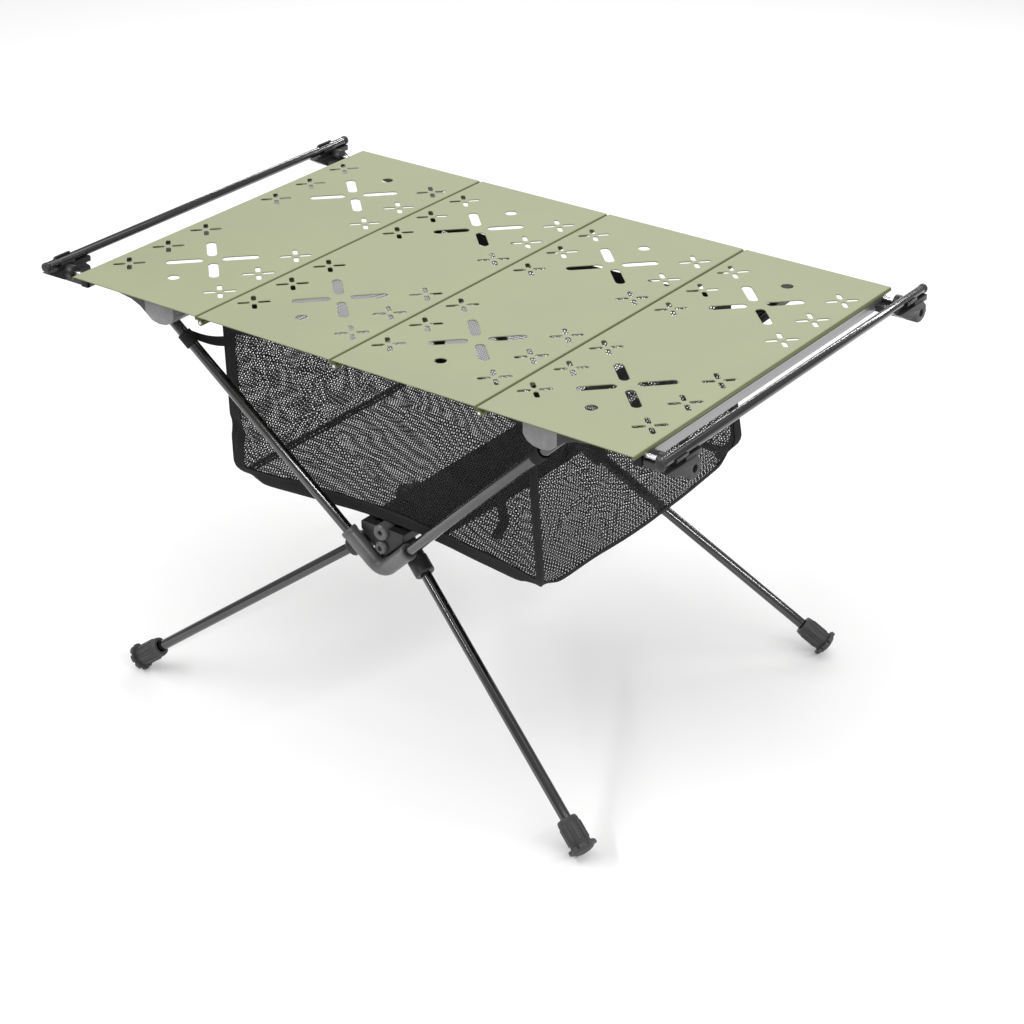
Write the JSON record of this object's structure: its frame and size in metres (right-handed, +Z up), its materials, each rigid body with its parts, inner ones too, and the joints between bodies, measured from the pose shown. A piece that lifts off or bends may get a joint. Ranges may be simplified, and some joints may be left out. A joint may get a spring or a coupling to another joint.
{
  "type": "camp kitchen table",
  "caption": "Low folding camp kitchen table: four hinged perforated metal panels on two crossed pole frames joined by a crossbar, with a mesh storage bag below.",
  "frame": {"origin": "on the floor, under the middle of the table top", "axes": "+Z up, +X along the length of the top, +Y from the front edge to the back edge"},
  "size_m": [0.666, 0.4282, 0.4005],
  "materials": {
    "top_sheet": "sage green powder coat, fine satin",
    "bright_steel": "bright steel",
    "end_bar": "grey anodised, satin",
    "pole": "black anodised tube, glossy streaks",
    "dark_plastic": "moulded, fine grain",
    "grey_plastic": "moulded, satin",
    "foot_rubber": "matte moulded rubber",
    "bag_mesh": "open knitted mesh",
    "bag_tape": "woven binding tape"
  },
  "bodies": {
    "frame": {"crossbar": "pole", "storage_bag": "bag_mesh", "hub_arm_yoke_front": "grey_plastic", "hub_arm_yoke_back": "grey_plastic", "hub_leg_yoke_front": "dark_plastic", "hub_leg_yoke_back": "dark_plastic", "hub_screw_front": "grey_plastic", "hub_screw_back": "grey_plastic", "bag_loop_front_left": "bag_tape", "bag_loop_front_right": "bag_tape", "bag_loop_back_left": "bag_tape", "bag_loop_back_right": "bag_tape"},
    "top_centre_left": {"panel_2": "top_sheet", "seam_pin_1": "bright_steel", "seam_pin_2": "bright_steel"},
    "top_left": {"panel_1": "top_sheet", "end_bar_left": "end_bar", "end_rod_left": "pole", "connector_front_left": "dark_plastic", "link_pin_front_left": "bright_steel", "rod_cap_front_left": "dark_plastic", "arm_bracket_front_left": "grey_plastic", "connector_back_left": "dark_plastic", "link_pin_back_left": "bright_steel", "rod_cap_back_left": "dark_plastic", "arm_bracket_back_left": "grey_plastic"},
    "top_centre_right": {"panel_3": "top_sheet", "seam_pin_3": "bright_steel"},
    "top_right": {"panel_4": "top_sheet", "end_bar_right": "end_bar", "end_rod_right": "pole", "connector_front_right": "dark_plastic", "link_pin_front_right": "bright_steel", "rod_cap_front_right": "dark_plastic", "arm_bracket_front_right": "grey_plastic", "connector_back_right": "dark_plastic", "link_pin_back_right": "bright_steel", "rod_cap_back_right": "dark_plastic", "arm_bracket_back_right": "grey_plastic"},
    "arm_front_left": {"arm_front_left": "pole"},
    "leg_front_left": {"leg_front_left": "pole", "foot_front_left": "foot_rubber"},
    "arm_front_right": {"arm_front_right": "pole"},
    "leg_front_right": {"leg_front_right": "pole", "foot_front_right": "foot_rubber"},
    "arm_back_left": {"arm_back_left": "pole"},
    "leg_back_left": {"leg_back_left": "pole", "foot_back_left": "foot_rubber"},
    "arm_back_right": {"arm_back_right": "pole"},
    "leg_back_right": {"leg_back_right": "pole", "foot_back_right": "foot_rubber"}
  },
  "joints": [
    {"name": "top_lift", "type": "slide", "parent": "frame", "child": "top_centre_left", "axis": [0, 0, 1], "range_m": [0, 0.35]},
    {"name": "seam_left", "type": "hinge", "parent": "top_centre_left", "child": "top_left", "pos_m": [-0.15, 0, 0.383], "axis": [0, -1, 0], "range_deg": [0, 90]},
    {"name": "seam_middle", "type": "hinge", "parent": "top_centre_left", "child": "top_centre_right", "pos_m": [0, 0, 0.383], "axis": [0, 1, 0], "range_deg": [0, 20]},
    {"name": "seam_right", "type": "hinge", "parent": "top_centre_right", "child": "top_right", "pos_m": [0.15, 0, 0.383], "axis": [0, 1, 0], "range_deg": [0, 70]},
    {"name": "arm_slide_front_left", "type": "slide", "parent": "frame", "child": "arm_front_left", "axis": [-0.7169, -0.101, 0.6899], "range_m": [0, 0.025]},
    {"name": "leg_slide_front_left", "type": "slide", "parent": "frame", "child": "leg_front_left", "axis": [-0.7771, -0.237, -0.5831], "range_m": [0, 0.025]},
    {"name": "arm_slide_front_right", "type": "slide", "parent": "frame", "child": "arm_front_right", "axis": [0.7169, -0.101, 0.6899], "range_m": [0, 0.025]},
    {"name": "leg_slide_front_right", "type": "slide", "parent": "frame", "child": "leg_front_right", "axis": [0.7771, -0.237, -0.5831], "range_m": [0, 0.025]},
    {"name": "arm_slide_back_left", "type": "slide", "parent": "frame", "child": "arm_back_left", "axis": [-0.7169, 0.101, 0.6899], "range_m": [0, 0.025]},
    {"name": "leg_slide_back_left", "type": "slide", "parent": "frame", "child": "leg_back_left", "axis": [-0.7771, 0.237, -0.5831], "range_m": [0, 0.025]},
    {"name": "arm_slide_back_right", "type": "slide", "parent": "frame", "child": "arm_back_right", "axis": [0.7169, 0.101, 0.6899], "range_m": [0, 0.025]},
    {"name": "leg_slide_back_right", "type": "slide", "parent": "frame", "child": "leg_back_right", "axis": [0.7771, 0.237, -0.5831], "range_m": [0, 0.025]}
  ],
  "couplings": [
    {"joint": "seam_left", "follows": "top_lift", "rad_per_m": 4.4879},
    {"joint": "seam_middle", "follows": "top_lift", "rad_per_m": 0.99732},
    {"joint": "seam_right", "follows": "top_lift", "rad_per_m": 3.4906},
    {"joint": "arm_slide_front_left", "follows": "top_lift", "ratio": 0.071428},
    {"joint": "arm_slide_front_right", "follows": "top_lift", "ratio": 0.071428},
    {"joint": "arm_slide_back_left", "follows": "top_lift", "ratio": 0.071428},
    {"joint": "arm_slide_back_right", "follows": "top_lift", "ratio": 0.071428}
  ]
}
